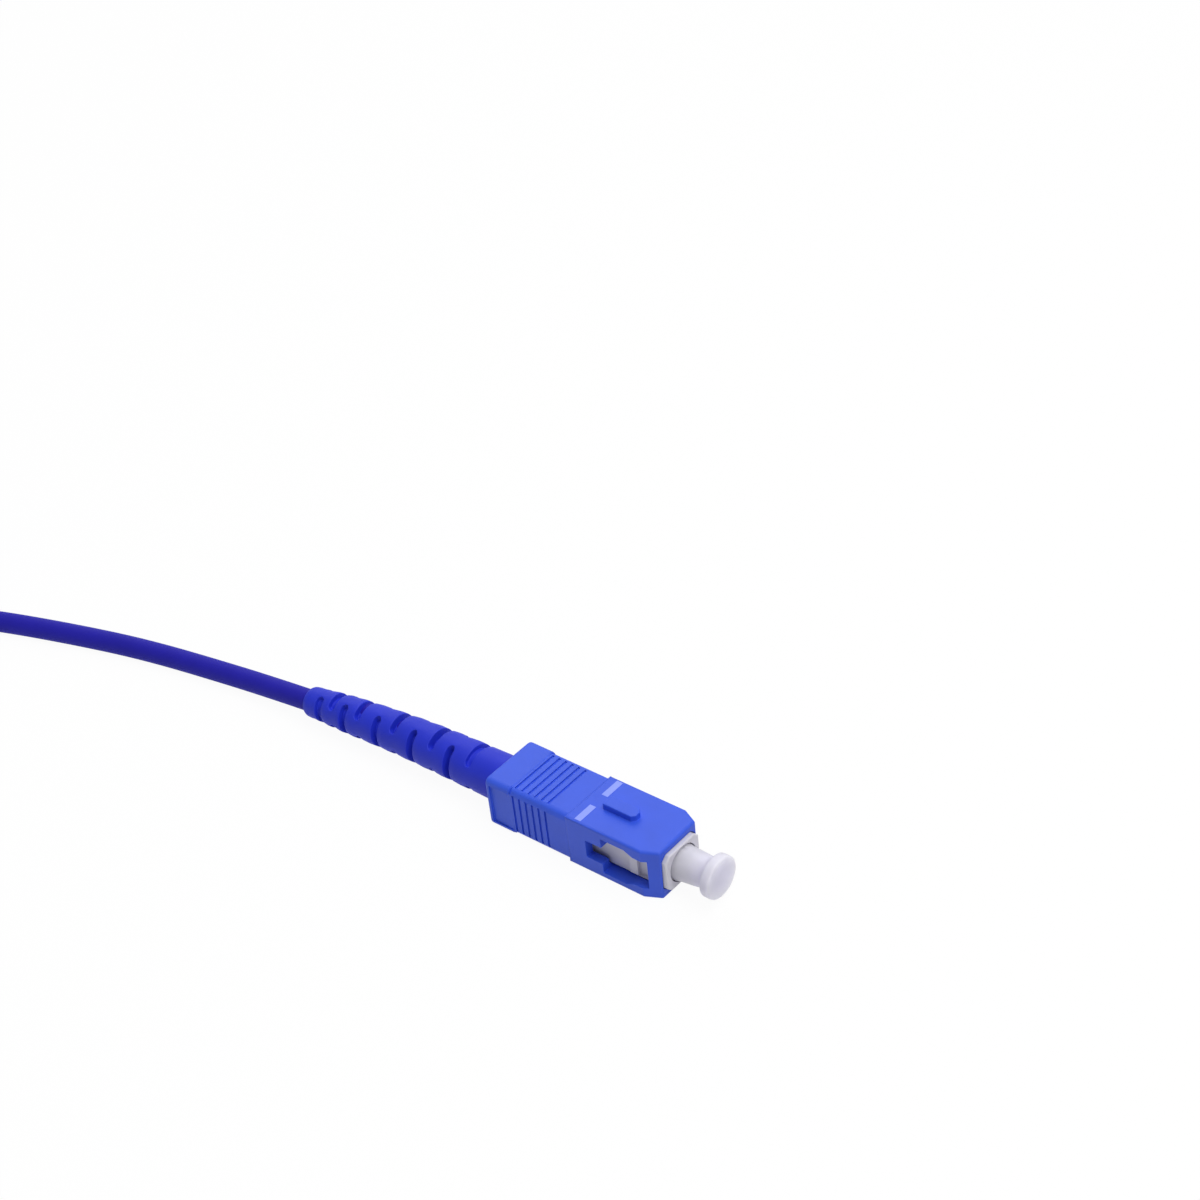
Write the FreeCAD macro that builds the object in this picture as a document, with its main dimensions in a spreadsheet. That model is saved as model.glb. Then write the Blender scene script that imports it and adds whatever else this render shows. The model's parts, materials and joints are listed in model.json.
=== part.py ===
"""A fibre lead's square push-pull plug, with its cord and the small plug at the far end.

Lengths are in millimetres.  Every piece of the square plug is drawn on the plug's own
axis, with x = 0 at the front of the coupling sleeve and the tip towards +X, and is then
placed in the model's frame: the floor is z = 0 and x = 0 is the middle of the plug.
The small plug's pieces are drawn the same way, from the front of its housing.
"""
import FreeCAD
import Part
import math
import os
import re
import Sketcher

V = FreeCAD.Vector
X_AXIS = V(1, 0, 0)
Y_AXIS = V(0, 1, 0)

SIZES = {
    # coupling sleeve, the blue outer shell
    "sleeve_length": 26.0,
    "sleeve_width": 8.99,
    "sleeve_height": 7.39,
    "nose_taper_length": 1.95,
    "nose_taper_width": 1.0,
    "edge_round": 0.4,
    "rear_round": 0.85,
    "rear_block_length": 3.6,
    "front_block_length": 13.5,
    "waist_depth": 0.28,
    "waist_ramp": 0.27,
    "groove_first": 16.75,
    "groove_pitch": 1.04,
    "groove_width": 0.36,
    "groove_depth": 0.22,
    "groove_margin": 0.95,
    "panel_rear_lip": 0.65,
    "panel_edge": 0.8,
    "panel_depth": 0.28,
    "slide_gap": 0.08,
    "boot_mouth_depth": 3.1,
    "boot_gap": 0.2,
    "key_rear": 10.4,
    "key_front": 5.65,
    "key_width": 1.75,
    "key_height": 0.85,
    "key_chamfer": 0.45,
    "key_round": 0.15,
    "window_front": 1.0,
    "window_ramp_front": 3.25,
    "window_ramp_rear": 4.5,
    "window_step": 8.05,
    "window_rear": 10.55,
    "window_front_half": 2.15,
    "window_middle_half": 2.72,
    "window_rear_half": 1.3,
    "tab_front": 11.2,
    "tab_length": 1.0,
    "tab_height": 0.36,
    "tab_width": 2.4,
    "sleeve_back_travel": 1.6,
    "sleeve_front_travel": 0.4,
    # plug frame, the pale inner housing
    "frame_front": 0.85,
    "frame_inset": 5.0,
    "frame_width": 6.44,
    "frame_height": 5.5,
    "frame_chamfer": 0.8,
    "frame_front_round": 0.22,
    "bore_radius": 2.55,
    "stop_front": 5.3,
    "stop_rear": 6.2,
    "stop_hole_radius": 1.75,
    "chamber_radius": 2.4,
    "lug_front": 3.2,
    "lug_rear": 3.95,
    "lug_half": 2.0,
    "pocket_rear": 11.0,
    "pocket_depth": 0.36,
    "slope_front": 0.5,
    "slope_depth": 0.2,
    "snap_front": 15.6,
    "snap_length": 1.6,
    "snap_width": 2.2,
    "snap_height": 0.45,
    "snap_gap": 0.1,
    # ferrule, its flange and the spring behind it
    "ferrule_radius": 1.2495,
    "ferrule_tip": 2.2,
    "ferrule_rear": 8.3,
    "ferrule_chamfer": 0.3,
    "ferrule_travel": 1.2,
    "fibre_radius": 0.45,
    "fibre_gap": 0.05,
    "seat_gap": 0.05,
    "flange_radius": 2.2,
    "flange_length": 2.1,
    "flange_barrel_radius": 1.5,
    "flange_barrel_rear": 11.5,
    "spring_radius": 1.9,
    "spring_wire": 0.5,
    "spring_turns": 5,
    # spring stop, crimp sleeve and the lead-in tubes
    "stop_nose_front": 14.2,
    "stop_nose_radius": 2.33,
    "stop_bore_radius": 1.15,
    "stop_flange_length": 0.8,
    "stop_flange_inset": 0.15,
    "post_radius": 1.8,
    "post_length": 8.0,
    "post_ridge_pitch": 0.8,
    "post_ridge_depth": 0.12,
    "crimp_wall": 0.35,
    "crimp_lead": 1.6,
    "crimp_length": 9.4,
    "crimp_gap": 0.02,
    "tube_radius": 0.85,
    "tube_bore_radius": 0.5,
    "tube_front": 13.4,
    # boot
    "boot_lead": 1.1,
    "boot_neck_length": 2.7,
    "boot_reach": 36.3,
    "boot_neck_radius": 2.68,
    "boot_radius": 3.14,
    "boot_straight_length": 2.0,
    "boot_tail_radius": 2.3,
    "boot_end_radius": 1.95,
    "boot_end_round": 0.9,
    "boot_wall_gap": 0.03,
    "slot_start": 5.0,
    "slot_pitch": 3.4,
    "slot_pitch_step": 0.115,
    "slot_count": 10,
    "slot_width": 0.9,
    "slot_core_radius": 1.82,
    "slot_reach": 0.86,
    # dust cap
    "cap_inner_end": 2.4,
    "cap_neck_radius": 2.15,
    "cap_head_radius": 2.85,
    "cap_head_rear": 4.5,
    "cap_front": 6.3,
    "cap_round": 0.45,
    "cap_grip_gap": 0.02,
    "cap_bore_end": 2.6,
    # cord
    "cord_radius": 1.5,
    "coil_x": -143.0,
    "coil_y": -10.5,
    "coil_run": 54.0,
    "coil_fold_radius": 11.0,
    "coil_round": 1.2,
    "tie_thickness": 0.4,
    "tie_width": 3.6,
    "tie_gap": 0.05,
    "tie_front": 20.0,
    # small plug at the far end, lying on the coil
    "lc_front": -113.0,
    "lc_rest_height": 2.7,
    "lc_width": 4.42,
    "lc_height": 4.42,
    "lc_edge": 0.3,
    "lc_length": 12.6,
    "lc_bore_radius": 1.75,
    "lc_bore_depth": 4.9,
    "lc_stop_rear": 5.7,
    "lc_stop_hole_radius": 0.95,
    "lc_chamber_radius": 1.62,
    "lc_ferrule_radius": 0.6245,
    "lc_ferrule_tip": 1.3,
    "lc_ferrule_rear": 7.0,
    "lc_ferrule_chamfer": 0.15,
    "lc_ferrule_travel": 1.0,
    "lc_flange_radius": 1.45,
    "lc_flange_length": 1.4,
    "lc_barrel_radius": 0.9,
    "lc_barrel_rear": 8.8,
    "lc_spring_radius": 1.22,
    "lc_spring_wire": 0.32,
    "lc_spring_turns": 5,
    "lc_nose_front": 10.4,
    "lc_nose_radius": 1.56,
    "lc_nose_bore_radius": 0.65,
    "lc_snap_front": 10.9,
    "lc_snap_length": 0.9,
    "lc_snap_width": 0.9,
    "lc_snap_gap": 0.08,
    "lc_tongue_front": 6.6,
    "lc_tongue_length": 1.2,
    "lc_tongue_height": 1.1,
    "lc_tongue_low": 1.35,
    "lc_tongue_groove": 0.28,
    "lc_body_width": 5.0,
    "lc_body_height": 5.2,
    "lc_body_rear": 20.6,
    "lc_post_radius": 1.5,
    "lc_post_length": 5.4,
    "lc_crimp_wall": 0.3,
    "lc_crimp_length": 6.9,
    "lc_latch_pivot": 2.3,
    "lc_latch_pin_radius": 0.36,
    "lc_latch_front": 1.4,
    "lc_latch_thickness": 0.8,
    "lc_latch_rise": 1.85,
    "lc_latch_width": 2.7,
    "lc_latch_tail": 13.6,
    "lc_pin_height": 0.2,
    "lc_ear_front": 5.4,
    "lc_ear_rear": 6.6,
    "lc_ear_width": 4.3,
    "lc_ear_height": 0.55,
    "lc_saddle_front": 14.8,
    "lc_trigger_pivot_inset": 1.4,
    "lc_trigger_inset": 0.7,
    "lc_trigger_pin_radius": 0.4,
    "lc_trigger_front": 11.4,
    "lc_trigger_bend": 14.4,
    "lc_trigger_clear": 0.23,
    "lc_trigger_thickness": 0.8,
    "lc_trigger_width": 3.9,
    "lc_trigger_wall": 0.9,
    "lc_hinge_gap": 0.06,
    "lc_boot_gap": 0.1,
    "lc_boot_length": 25.8,
    "lc_boot_radius": 2.65,
    "lc_boot_end_radius": 1.95,
    "lc_boot_round": 0.5,
    "lc_boot_slot_width": 0.35,
    "lc_boot_slot_rear": 4.4,
    "lc_boot_slot_step": 1.05,
    "lc_boot_slot_group": 3.6,
    "lc_boot_slot_depth": 0.3,
    "lc_tail_depth": 7.5,
    "lc_cap_inner_end": 1.2,
    "lc_cap_neck_radius": 1.5,
    "lc_cap_head_radius": 2.45,
    "lc_cap_head_rear": 3.6,
    "lc_cap_front": 4.8,
    "lc_cap_round": 0.3,
    "lc_cap_bore_end": 1.6,
}

# The route of the cord from inside the boot to the put-away coil, in the model's frame.
CORD_ROUTE = [
    (-24.0, 0.0, 3.695),
    (-40.0, 0.0, 3.695),
    (-57.0, -3.0, 1.55),
    (-76.0, -8.0, 1.55),
    (-97.0, -15.2, 1.55),
    (-116.0, -22.3, 1.75),
    (-132.0, -23.0, 1.9),
]

# Its last stretch: out of the coil, along the top of it, round its end and into the far boot.
TAIL_ROUTE = [
    (-116.5, -21.3, 5.7),
    (-129.5, -21.7, 7.45),
    (-145.0, -21.45, 7.5),
    (-160.0, -21.6, 7.6),
    (-174.56, -21.5, 7.85),
    (-181.0, -15.06, 8.15),
    (-181.0, -5.94, 8.5),
    (-174.56, 0.5, 8.8),
    (-163.2, 0.5, 9.08),
    (-152.0, 0.5, 9.1),
]

# Places behind the front of a plug that follow from the sizes.
PLACES = {
    "frame_rear": "(sleeve_length - frame_inset)",
    "post_rear": "(frame_rear + post_length)",
    "crimp_front": "(frame_rear + crimp_lead)",
    "crimp_rear": "(crimp_front + crimp_length)",
    "boot_front": "(frame_rear + boot_lead)",
    "boot_shoulder": "(boot_front + boot_neck_length)",
    "boot_rear": "(sleeve_length + boot_reach)",
    "boot_straight_rear": "(sleeve_length + boot_straight_length)",
    "slot_first": "(sleeve_length + slot_start)",
    "plug_front": "((boot_rear - cap_front) / 2)",
    "cord_start": f"(plug_front + {-CORD_ROUTE[0][0]})",
    "lc_post_rear": "(lc_body_rear + lc_post_length)",
    "lc_crimp_rear": "(lc_body_rear + lc_crimp_length)",
    "lc_boot_front": "(lc_body_rear + lc_boot_gap)",
    "lc_boot_rear": "(lc_boot_front + lc_boot_length)",
    "lc_trigger_pivot": "(lc_body_rear - lc_trigger_pivot_inset)",
    "lc_trigger_rear": "(lc_body_rear - lc_trigger_inset)",
}

doc = FreeCAD.newDocument("FibrePlug")
sheet = doc.addObject("Spreadsheet::Sheet", "Sizes")
for row, (size_name, number) in enumerate(SIZES.items(), start=1):
    sheet.set(f"A{row}", size_name)
    sheet.set(f"B{row}", str(number))
    sheet.setAlias(f"B{row}", size_name)
probe = doc.addObject("Part::Vertex", "probe")
doc.recompute()

nodes = []


def size(name):
    """The number that the sheet holds under a name."""
    return float(sheet.get(name))


def formula(text):
    """The text as an expression that reads the sheet."""
    def found(match):
        word = match.group()
        if word in PLACES:
            return formula(PLACES[word])
        return "Sizes." + word if word in SIZES else word
    return re.sub(r"[a-z][a-z_]+", found, str(text))


def value(text):
    """What a formula comes to with the sheet's numbers."""
    probe.setExpression("X", formula(text))
    probe.recompute()
    return float(probe.X)


def bind(thing, **formulas):
    """Ties properties to formulas; two underscores in a name stand for a dot."""
    for prop, text in formulas.items():
        thing.setExpression(prop.replace("__", "."), formula(text))


def block(name, x, y, z):
    """A box between two formulas along each axis."""
    made = doc.addObject("Part::Box", name)
    for side, axis, (low, high) in zip(("Length", "Width", "Height"), "xyz", (x, y, z)):
        bind(made, **{side: f"({high}) - ({low})", f"Placement__Base__{axis}": low})
    return made


def bar(name, x, width, height):
    """A box on the axis, of a width along Y and a height along Z."""
    return block(name, x, (f"-({width}) / 2", f"({width}) / 2"), (f"-({height}) / 2", f"({height}) / 2"))


def rod(name, x, radius):
    """A cylinder along the axis between two formulas."""
    made = doc.addObject("Part::Cylinder", name)
    made.Placement = FreeCAD.Placement(V(0, 0, 0), FreeCAD.Rotation(Y_AXIS, 90))
    bind(made, Radius=radius, Height=f"({x[1]}) - ({x[0]})", Placement__Base__x=x[0])
    return made


def joined(name, *parts):
    made = doc.addObject("Part::MultiFuse", name)
    made.Shapes = list(parts)
    made.Refine = True
    return made


def cut(name, base, *tools):
    made = doc.addObject("Part::Cut", name)
    made.Base = base
    made.Tool = tools[0] if len(tools) == 1 else joined(name + "_tools", *tools)
    made.Refine = True
    return made


def sketch_of(body, name, plane, points):
    """A closed outline with straight sides, each corner tied to two formulas."""
    made = body.newObject("Sketcher::SketchObject", name)
    support = next(f for f in body.Origin.OriginFeatures if f.Role == plane)
    made.AttachmentSupport = [(support, "")]
    made.MapMode = "FlatFace"
    corners = [V(value(across), value(up), 0) for across, up in points]
    for here, there in zip(corners, corners[1:] + corners[:1]):
        made.addGeometry(Part.LineSegment(here, there), False)
    count = len(points)
    for i in range(count):
        made.addConstraint(Sketcher.Constraint("Coincident", i, 2, (i + 1) % count, 1))
    for i, (corner, texts) in enumerate(zip(corners, points)):
        for kind, number, text in zip(("DistanceX", "DistanceY"), corner, texts):
            tied = made.addConstraint(Sketcher.Constraint(kind, -1, 1, i, 1, number))
            made.setExpression(f"Constraints[{tied}]", formula(text))
    return made


def padded(name, plane, points, length):
    """A body with one outline, padded evenly to both sides of its plane."""
    body = doc.addObject("PartDesign::Body", name)
    pad = body.newObject("PartDesign::Pad", name + "_pad")
    pad.Profile = sketch_of(body, name + "_outline", plane, points)
    pad.Midplane = True
    bind(pad, Length=length)
    doc.recompute()
    return body


def turned(name, points):
    """A body turned about the plug's axis from an outline of (x, radius) corners."""
    body = doc.addObject("PartDesign::Body", name)
    turn = body.newObject("PartDesign::Revolution", name + "_turn")
    turn.Profile = sketch_of(body, name + "_outline", "XY_Plane", points)
    turn.ReferenceAxis = (turn.Profile[0], ["H_Axis"])
    turn.Angle = 360
    doc.recompute()
    return body


def edges_where(thing, test):
    """The names of the edges whose middle and direction pass a test."""
    found = []
    for i, edge in enumerate(thing.Shape.Edges, start=1):
        middle = edge.valueAt((edge.FirstParameter + edge.LastParameter) / 2)
        first, last = edge.Vertexes[0].Point, edge.Vertexes[-1].Point
        if test(middle, last - first):
            found.append(f"Edge{i}")
    return found


def softened(body, kind, radius, test):
    """Rounds (Fillet) or bevels (Chamfer) a body's edges that pass a test."""
    base = body.Tip
    made = body.newObject("PartDesign::" + kind, f"{body.Name}_{kind}_{len(body.Group)}")
    made.Base = (base, edges_where(base, test))
    bind(made, **{"Radius" if kind == "Fillet" else "Size": radius})
    body.Tip = made
    doc.recompute()
    return made


def is_along(direction, axis):
    return direction.Length > 1e-6 and abs(direction.normalize().dot(axis)) > 0.999


def node(label, made, x="0", y="0", z="0"):
    """Names a finished piece and sets it in the model's frame."""
    made.Label = label
    bind(made, Placement__Base__x=x, Placement__Base__y=y, Placement__Base__z=z)
    nodes.append(made)


SC_PLACE = {"x": "plug_front", "y": "0", "z": "sleeve_height / 2"}
LC_PLACE = {"x": "lc_front", "y": "coil_y + coil_fold_radius",
            "z": "tie_thickness + 4 * cord_radius + lc_rest_height"}


def rectangle(width, height, chamfer="0"):
    """Corners of an upright rectangle about the axis, with bevelled corners if asked."""
    across, up = f"({width}) / 2", f"({height}) / 2"
    if chamfer == "0":
        return [(f"-({across})", f"-({up})"), (across, f"-({up})"), (across, up), (f"-({across})", up)]
    corners = []
    for sx, sy, order in ((-1, -1, 0), (1, -1, 1), (1, 1, 0), (-1, 1, 1)):
        beside = (f"{sx} * (({across}) - {chamfer})", f"{sy} * ({up})")
        above = (f"{sx} * ({across})", f"{sy} * (({up}) - {chamfer})")
        corners += [beside, above] if order else [above, beside]
    return corners


def section_bar(name, x, width, height, chamfer="0"):
    """A bar along the axis with a rectangle or a bevelled rectangle as its section."""
    body = doc.addObject("PartDesign::Body", name)
    pad = body.newObject("PartDesign::Pad", name + "_pad")
    pad.Profile = sketch_of(body, name + "_section", "YZ_Plane", rectangle(width, height, chamfer))
    bind(pad, Length=f"({x[1]}) - ({x[0]})")
    bind(body, Placement__Base__x=x[0])
    doc.recompute()
    return body


def along_x(middle, direction):
    return is_along(direction, X_AXIS)


def coupling_sleeve():
    """The outer shell: three blocks in a row, a grip, windows, a key and a bore."""
    outline = [
        ("-front_block_length", "-sleeve_width / 2"),
        ("-nose_taper_length", "-sleeve_width / 2"),
        ("0", "-sleeve_width / 2 + nose_taper_width"),
        ("0", "sleeve_width / 2 - nose_taper_width"),
        ("-nose_taper_length", "sleeve_width / 2"),
        ("-front_block_length", "sleeve_width / 2"),
    ]
    front = padded("front_block", "XY_Plane", outline, "sleeve_height")
    softened(front, "Chamfer", "waist_ramp",
             lambda m, d: abs(m.x + size("front_block_length")) < 1e-3)
    softened(front, "Fillet", "edge_round",
             lambda m, d: m.x > -size("front_block_length") + size("waist_ramp") + 1e-3)
    waist = section_bar("waist_block",
                        ("-sleeve_length + rear_block_length / 2", "-front_block_length + waist_ramp"),
                        "sleeve_width - 2 * waist_depth", "sleeve_height - 2 * waist_depth")
    softened(waist, "Fillet", "rear_round", along_x)
    rear = section_bar("rear_block", ("-sleeve_length", "-sleeve_length + rear_block_length"),
                       "sleeve_width", "sleeve_height")
    softened(rear, "Fillet", "rear_round", along_x)
    softened(rear, "Fillet", "edge_round", lambda m, d: abs(m.x) < 1e-3)
    softened(rear, "Chamfer", "waist_ramp",
             lambda m, d: abs(m.x - size("rear_block_length")) < 1e-3)
    key_outline = [
        ("-key_rear", "-key_width / 2"),
        ("-key_front - key_chamfer", "-key_width / 2"),
        ("-key_front", "-key_width / 2 + key_chamfer"),
        ("-key_front", "key_width / 2 - key_chamfer"),
        ("-key_front - key_chamfer", "key_width / 2"),
        ("-key_rear", "key_width / 2"),
    ]
    key = padded("key", "XY_Plane", key_outline, "2 * key_height")
    softened(key, "Fillet", "key_round", lambda m, d: m.z > size("key_height") - 1e-3)
    bind(key, Placement__Base__z="sleeve_height / 2")

    window_outline = [
        ("-window_rear", "-window_rear_half"), ("-window_step", "-window_rear_half"),
        ("-window_step", "-window_middle_half"), ("-window_ramp_rear", "-window_middle_half"),
        ("-window_ramp_front", "-window_front_half"), ("-window_front", "-window_front_half"),
        ("-window_front", "window_front_half"), ("-window_ramp_front", "window_front_half"),
        ("-window_ramp_rear", "window_middle_half"), ("-window_step", "window_middle_half"),
        ("-window_step", "window_rear_half"), ("-window_rear", "window_rear_half"),
    ]
    windows = padded("windows", "XZ_Plane", window_outline, "2 * sleeve_width")
    bore = section_bar("sleeve_bore", ("-sleeve_length - 1", "1"), "frame_width + 2 * slide_gap",
                       "frame_height + 2 * slide_gap", "frame_chamfer")
    mouth = rod("boot_mouth", ("-sleeve_length - 1", "-sleeve_length + boot_mouth_depth"),
                "boot_radius + boot_gap")
    tab_slots = bar("tab_slots", ("-tab_front - tab_length - sleeve_front_travel - slide_gap",
                                  "-tab_front + sleeve_back_travel + slide_gap"),
                    "tab_width + 2 * slide_gap", "frame_height + 2 * tab_height + 2 * slide_gap")
    panels = [block(f"panel_{side}", ("-sleeve_length + panel_rear_lip",
                                      "-groove_first - 5 * groove_pitch - groove_width / 2"), across,
                    ("-sleeve_height / 2 + panel_edge", "sleeve_height / 2 - panel_edge"))
              for side, across in (("right", ("-sleeve_width", "-sleeve_width / 2 + panel_depth")),
                                   ("left", ("sleeve_width / 2 - panel_depth", "sleeve_width")))]
    grooves = []
    for i in range(6):
        station = f"-groove_first - {i} * groove_pitch"
        span = (f"{station} - groove_width / 2", f"{station} + groove_width / 2")
        whole = bar(f"groove_ring_{i}", span, "2 * sleeve_width", "2 * sleeve_height")
        longer = (f"{span[0]} - groove_width", f"{span[1]} + groove_width")
        middle = bar(f"groove_middle_{i}", longer, "sleeve_width - 2 * waist_depth - 2 * groove_depth",
                     "sleeve_height - 2 * waist_depth - 2 * groove_depth")
        corners = [block(f"groove_corner_{i}_{a}{b}", longer,
                         (f"{a} * sleeve_width - sleeve_width / 2 - groove_margin",
                          f"{a} * sleeve_width - sleeve_width / 2 + groove_margin"),
                         (f"{b} * sleeve_height - sleeve_height / 2 - groove_margin",
                          f"{b} * sleeve_height - sleeve_height / 2 + groove_margin"))
                   for a in (0, 1) for b in (0, 1)]
        grooves.append(cut(f"groove_{i}", whole, middle, *corners))
    shell = joined("sleeve_shell", front, waist, rear, key)
    return cut("sleeve", shell, windows, bore, mouth, tab_slots, *panels, *grooves)


def plug_frame():
    """The inner housing: a bevelled bar with side pockets, latching lugs and a stepped bore."""
    body = section_bar("frame_bar", ("-frame_rear", "frame_front"), "frame_width", "frame_height",
                       "frame_chamfer")
    length = value("frame_rear + frame_front")
    softened(body, "Fillet", "frame_front_round", lambda m, d: abs(m.x - length) < 1e-3)
    front_bore = rod("front_bore", ("-stop_front", "frame_front + 1"), "bore_radius")
    stop_hole = rod("stop_hole", ("-stop_rear - 1", "-stop_front + 1"), "stop_hole_radius")
    chamber = rod("chamber", ("-frame_rear - 1", "-stop_rear"), "chamber_radius")
    pockets = cut("side_pockets",
                  bar("pocket_bar", ("-pocket_rear", "-lug_rear"), "2 * frame_width", "2 * window_middle_half"),
                  bar("pocket_middle", ("-pocket_rear - 1", "1"), "frame_width - 2 * pocket_depth",
                      "frame_height * 2"))
    slopes = cut("nose_slopes",
                 bar("slope_bar", ("-lug_front", "-slope_front"), "2 * frame_width", "2 * lug_half"),
                 bar("slope_middle", ("-lug_front - 1", "1"), "frame_width - 2 * slope_depth",
                     "frame_height * 2"))
    snap_windows = bar("snap_windows", ("-snap_front - snap_length - snap_gap", "-snap_front + snap_gap"),
                       "2 * frame_width", "snap_width + 2 * snap_gap")
    hollow = cut("frame_hollow", body, front_bore, stop_hole, chamber, pockets, slopes, snap_windows)
    tabs = cut("tabs", bar("tab_bar", ("-tab_front - tab_length", "-tab_front"), "tab_width",
                           "frame_height + 2 * tab_height"),
               bar("tab_middle", ("-tab_front - tab_length - 1", "-tab_front + 1"), "2 * tab_width",
                   "frame_height - tab_height"))
    return joined("frame", hollow, tabs)


def ferrule(prefix, radius, tip, rear, chamfer):
    """A ceramic ferrule with a bevelled tip.  Its hole, an eighth of a millimetre, is left out."""
    return turned(prefix, [
        (f"-{rear}", "0"), (f"-{rear}", radius), (f"{tip} - {chamfer}", radius),
        (tip, f"{radius} - {chamfer}"), (tip, "0"),
    ])


def flange(prefix, stop_rear, ferrule_radius, ferrule_rear, radius, length, barrel_radius, barrel_rear):
    """The collar pressed on the ferrule: a head against the stop and a barrel in the spring."""
    front = f"-{stop_rear} - seat_gap"
    return turned(prefix, [
        (front, ferrule_radius), (front, radius), (f"{front} - {length}", radius),
        (f"{front} - {length}", barrel_radius), (f"-{barrel_rear}", barrel_radius),
        (f"-{barrel_rear}", "fibre_radius + fibre_gap"), (f"-{ferrule_rear}", "fibre_radius + fibre_gap"),
        (f"-{ferrule_rear}", ferrule_radius),
    ])


def spring(name, rear, front, radius, wire, turns):
    """An open coil spring between two places on the axis."""
    length = value(front) - value(rear) - size(wire)
    helix = Part.Wire(Part.makeHelix(length / size(turns), length, size(radius)).Edges)
    flats = [2 * math.pi * (i + 0.5) / 8 for i in range(8)]
    corners = [V(size(radius) + size(wire) / 2 * math.cos(turn), 0, size(wire) / 2 * math.sin(turn))
               for turn in flats]
    profile = Part.makePolygon(corners + corners[:1])
    for line in (helix, profile):
        line.rotate(V(0, 0, 0), Y_AXIS, 90)
        line.translate(V(value(rear) + size(wire) / 2, 0, 0))
    coil = helix.makePipeShell([profile], True, True)
    made = doc.addObject("Part::Feature", name)
    made.Shape = coil
    return made


def spring_stop():
    """The rear body: a nose that snaps into the frame, a flange and a ridged crimp post."""
    ridges = []
    ridge, count = size("post_ridge_pitch"), 7
    for i in range(count):
        middle = f"-post_rear + {i + 1} * post_ridge_pitch"
        ridges += [(f"{middle} - post_ridge_pitch / 4", "post_radius"),
                   (middle, "post_radius - post_ridge_depth"),
                   (f"{middle} + post_ridge_pitch / 4", "post_radius")]
    core = turned("stop_core", [
        ("-stop_nose_front", "stop_bore_radius"), ("-post_rear", "stop_bore_radius"),
        ("-post_rear", "post_radius")] + ridges + [
        ("-frame_rear", "post_radius"), ("-frame_rear", "stop_nose_radius"),
        ("-stop_nose_front", "stop_nose_radius"),
    ])
    collar = section_bar("stop_flange", ("-frame_rear - stop_flange_length", "-frame_rear"),
                         "frame_width - 2 * stop_flange_inset", "frame_height - 2 * stop_flange_inset",
                         "frame_chamfer")
    lugs = bar("stop_lugs", ("-snap_front - snap_length", "-snap_front"),
               "2 * stop_nose_radius + 2 * snap_height", "snap_width")
    bore = rod("stop_bore", ("-post_rear - 1", "-stop_nose_front + 1"), "stop_bore_radius")
    return cut("stop", joined("stop_solid", core, collar, lugs), bore)


def core_rod(name, x, radius):
    """A round rod drawn on the axis of a plug, so that it can be placed with the plug."""
    return turned(name, [(x[0], "0"), (x[0], radius), (x[1], radius), (x[1], "0")])


def ring(name, x, inner, outer):
    """A plain tube between two places on the axis."""
    return turned(name, [(x[0], inner), (x[0], outer), (x[1], outer), (x[1], inner)])


def boot():
    """The strain relief: a tapered tube with crosswise slots, each pair a quarter turn on."""
    straight, tail = "-boot_straight_rear", "-boot_rear + boot_end_round"
    body = turned("boot_body", [
        ("-boot_front", "post_radius + crimp_gap + crimp_wall + boot_wall_gap"),
        ("-boot_front", "boot_neck_radius"), ("-boot_shoulder", "boot_neck_radius"),
        ("-boot_shoulder", "boot_radius"), (straight, "boot_radius"),
        (tail, "boot_tail_radius"), ("-boot_rear", "boot_end_radius"),
        ("-boot_rear", "cord_radius + boot_wall_gap"), ("-crimp_rear", "cord_radius + boot_wall_gap"),
        ("-crimp_rear", "post_radius + crimp_gap + crimp_wall + boot_wall_gap"),
    ])
    taper = "(boot_radius - boot_tail_radius) / (boot_rear - boot_end_round - boot_straight_rear)"
    slots = []
    for i in range(int(size("slot_count"))):
        station = f"(slot_first + {i} * slot_pitch - {i * (i - 1) // 2} * slot_pitch_step)"
        x = (f"-{station} - slot_width / 2", f"-{station} + slot_width / 2")
        reach = f"2 * slot_reach * (boot_radius - {taper} * ({station} - boot_straight_rear))"
        sides = ("4 * boot_radius", reach) if i % 2 else (reach, "4 * boot_radius")
        slots.append(bar(f"boot_slot_{i}", x, *sides))
    core = rod("slot_core", ("-boot_rear", "-boot_front"), "slot_core_radius")
    return cut("boot_slotted", body, cut("boot_slots", joined("boot_slot_bars", *slots), core))


def dust_cap(prefix, inner_end, neck, head, head_rear, front, rounding, ferrule_radius, bore_end):
    """A soft cap: a neck that grips the ferrule and a round head to pull it by."""
    body = turned(prefix, [
        (f"-{inner_end}", f"{ferrule_radius} + cap_grip_gap"), (f"-{inner_end}", neck),
        (head_rear, neck), (head_rear, head), (front, head), (front, "0"),
        (bore_end, "0"), (bore_end, f"{ferrule_radius} + cap_grip_gap"),
    ])
    softened(body, "Fillet", rounding,
             lambda m, d: V(0, m.y, m.z).Length > size(head) - 1e-3 and d.Length < 1e-6)
    return body


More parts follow.
